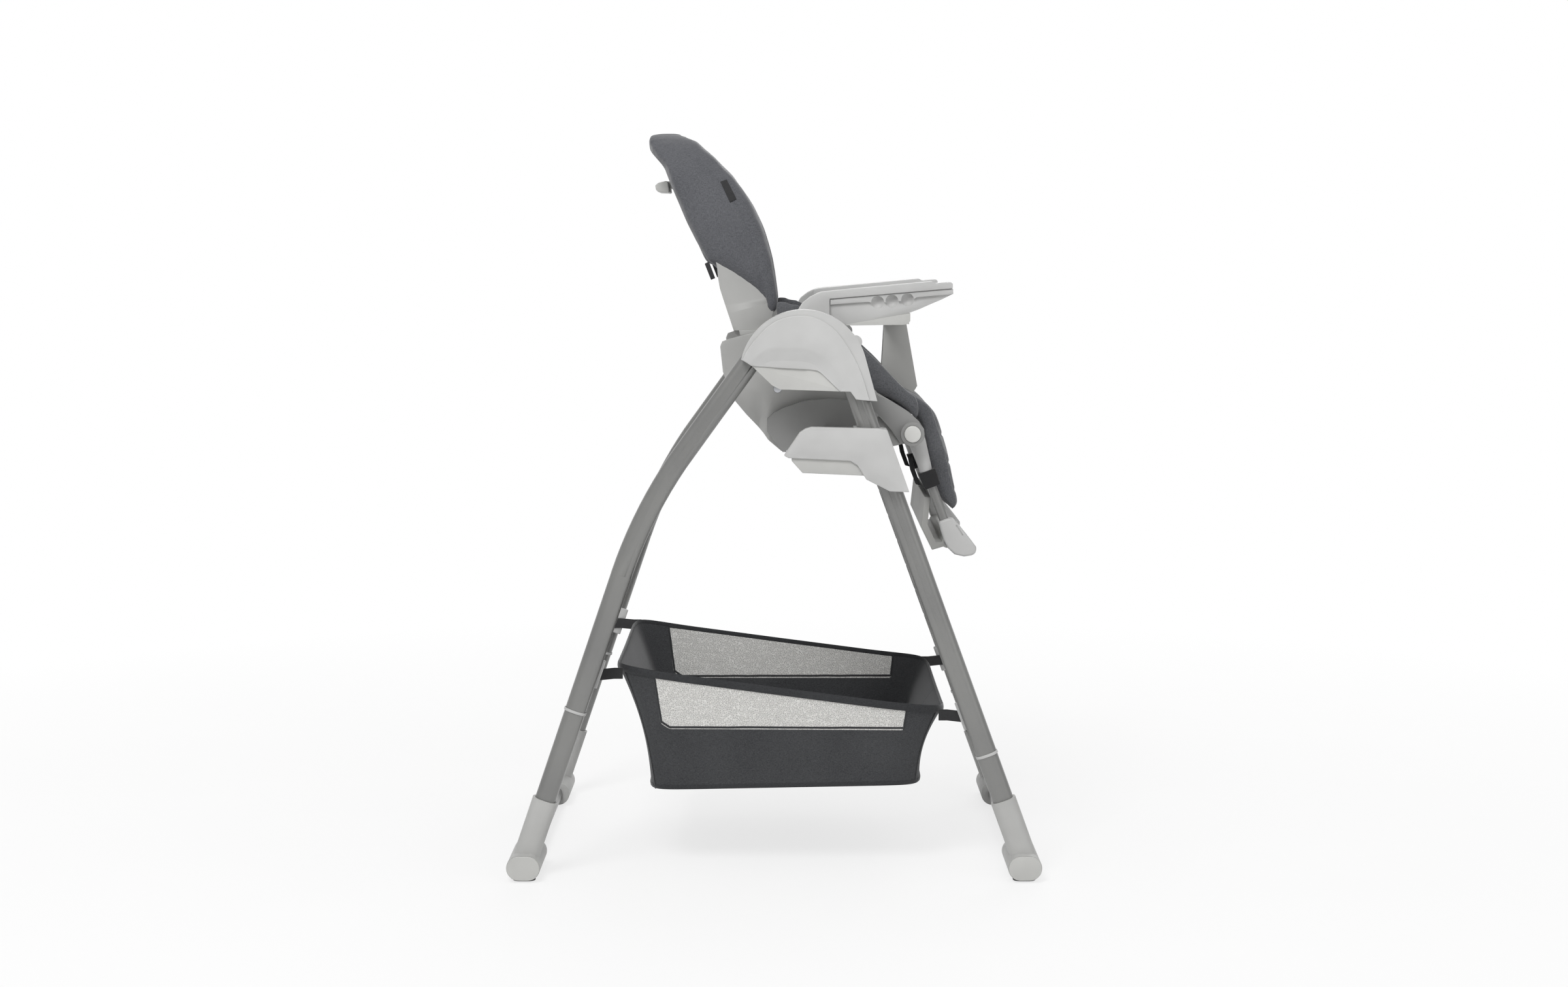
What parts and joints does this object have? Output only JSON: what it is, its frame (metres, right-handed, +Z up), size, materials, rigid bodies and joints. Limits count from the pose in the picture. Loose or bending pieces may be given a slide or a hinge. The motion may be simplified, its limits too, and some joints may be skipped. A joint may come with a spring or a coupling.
{
  "type": "folding baby high chair",
  "caption": "Folding A-frame baby high chair with height-adjustable reclining seat, padded cover, armrests, crotch post, legrest with footrest and a mesh storage basket.",
  "frame": {"origin": "centre of the footprint, on the floor", "axes": "+X towards the front of the chair, where the child's legs are; +Y towards the child's left; +Z up"},
  "size_m": [0.7548, 0.58, 1.0553],
  "materials": {
    "leg_tube": "satin",
    "foot_plastic": "fine moulded grain",
    "glide_rubber": "matte",
    "light_plastic": "fine moulded grain",
    "shell_plastic": "fine moulded grain",
    "pin_steel": "satin",
    "cover_fabric": "woven",
    "basket_fabric": "woven and mesh",
    "black_webbing": "ribbed webbing",
    "buckle_plastic": "satin"
  },
  "bodies": {
    "front_frame": {"front_leg_right": "leg_tube", "front_leg_left": "leg_tube", "front_floor_bar": "leg_tube", "front_foot_right": "foot_plastic", "front_foot_left": "foot_plastic", "front_end_caps": "foot_plastic", "front_glides": "glide_rubber", "front_collars": "light_plastic", "hinge_pins": "pin_steel", "leg_bolts": "pin_steel", "hinge_cover_outer_right": "light_plastic", "hinge_cover_outer_left": "light_plastic", "hinge_covers_inner": "light_plastic", "front_basket_hooks": "light_plastic", "front_basket_straps": "black_webbing", "basket": "basket_fabric"},
    "rear_frame": {"rear_leg_right": "leg_tube", "rear_leg_left": "leg_tube", "rear_floor_bar": "leg_tube", "rear_foot_right": "foot_plastic", "rear_foot_left": "foot_plastic", "rear_end_caps": "foot_plastic", "rear_glides": "glide_rubber", "rear_collars": "light_plastic", "rear_knuckles": "shell_plastic", "rear_basket_hooks": "light_plastic", "rear_basket_straps": "black_webbing"},
    "fold_lever_right": {"fold_lever_right": "light_plastic"},
    "fold_lever_left": {"fold_lever_left": "light_plastic"},
    "seat": {"carriage_outer_right": "light_plastic", "carriage_outer_left": "light_plastic", "carriages_inner": "light_plastic", "seat_brackets": "light_plastic", "seat_shell": "shell_plastic", "seat_pad": "cover_fabric", "knee_pad": "cover_fabric", "arm_right": "light_plastic", "arm_left": "light_plastic", "arm_screws": "pin_steel", "crotch_post": "light_plastic", "waist_straps": "black_webbing", "harness_buckle": "buckle_plastic", "recline_pins": "pin_steel"},
    "height_lever_right": {"height_lever_right": "light_plastic"},
    "height_lever_left": {"height_lever_left": "light_plastic"},
    "backrest": {"back_shell": "shell_plastic", "back_pad": "cover_fabric", "back_strap": "black_webbing", "shoulder_straps": "black_webbing"},
    "recline_lever": {"recline_lever": "light_plastic"},
    "legrest": {"legrest_arms": "light_plastic", "legrest_tubes": "leg_tube", "leg_pad": "cover_fabric", "legrest_band": "black_webbing"},
    "legrest_button_right": {"legrest_button_right": "light_plastic"},
    "legrest_button_left": {"legrest_button_left": "light_plastic"},
    "footrest": {"footrest_shoes": "light_plastic", "foot_plate_pins": "pin_steel"},
    "foot_plate": {"foot_plate": "light_plastic"}
  },
  "joints": [
    {"name": "frame_fold", "type": "hinge", "parent": "front_frame", "child": "rear_frame", "pos_m": [0.04, 0, 0.742], "axis": [0, -1, 0], "range_deg": [0, 44]},
    {"name": "height_slide", "type": "slide", "parent": "front_frame", "child": "seat", "axis": [0.342, 0, -0.9397], "range_m": [0, 0.301]},
    {"name": "recline", "type": "hinge", "parent": "seat", "child": "backrest", "pos_m": [0.005, 0, 0.69], "axis": [0, -1, 0], "range_deg": [0, 45]},
    {"name": "legrest_tilt", "type": "hinge", "parent": "seat", "child": "legrest", "pos_m": [0.1968, 0, 0.6259], "axis": [0, -1, 0], "range_deg": [0, 70], "deforming": ["knee_pad"]},
    {"name": "footrest_slide", "type": "slide", "parent": "legrest", "child": "footrest", "axis": [0.3551, 0, -0.9348], "range_m": [0, 0.025]},
    {"name": "foot_plate_flip", "type": "hinge", "parent": "footrest", "child": "foot_plate", "pos_m": [0.25, 0, 0.466], "axis": [0, -1, 0], "range_deg": [0, 235]},
    {"name": "fold_lever_right_press", "type": "slide", "parent": "front_frame", "child": "fold_lever_right", "axis": [0, 0, 1], "range_m": [0, 0.004], "stiffness_N_per_m": 1500, "springref_m": -0.002},
    {"name": "fold_lever_left_press", "type": "slide", "parent": "front_frame", "child": "fold_lever_left", "axis": [0, 0, 1], "range_m": [0, 0.004], "stiffness_N_per_m": 1500, "springref_m": -0.002},
    {"name": "height_lever_right_press", "type": "slide", "parent": "seat", "child": "height_lever_right", "axis": [0, 0, 1], "range_m": [0, 0.004], "stiffness_N_per_m": 1500, "springref_m": -0.002},
    {"name": "height_lever_left_press", "type": "slide", "parent": "seat", "child": "height_lever_left", "axis": [0, 0, 1], "range_m": [0, 0.004], "stiffness_N_per_m": 1500, "springref_m": -0.002},
    {"name": "recline_lever_pull", "type": "slide", "parent": "backrest", "child": "recline_lever", "axis": [0, 0, 1], "range_m": [0, 0.008], "stiffness_N_per_m": 900, "springref_m": -0.002},
    {"name": "legrest_button_right_press", "type": "slide", "parent": "seat", "child": "legrest_button_right", "axis": [0, 1, 0], "range_m": [0, 0.004], "stiffness_N_per_m": 800, "springref_m": -0.001},
    {"name": "legrest_button_left_press", "type": "slide", "parent": "seat", "child": "legrest_button_left", "axis": [0, -1, 0], "range_m": [0, 0.004], "stiffness_N_per_m": 800, "springref_m": -0.001}
  ]
}
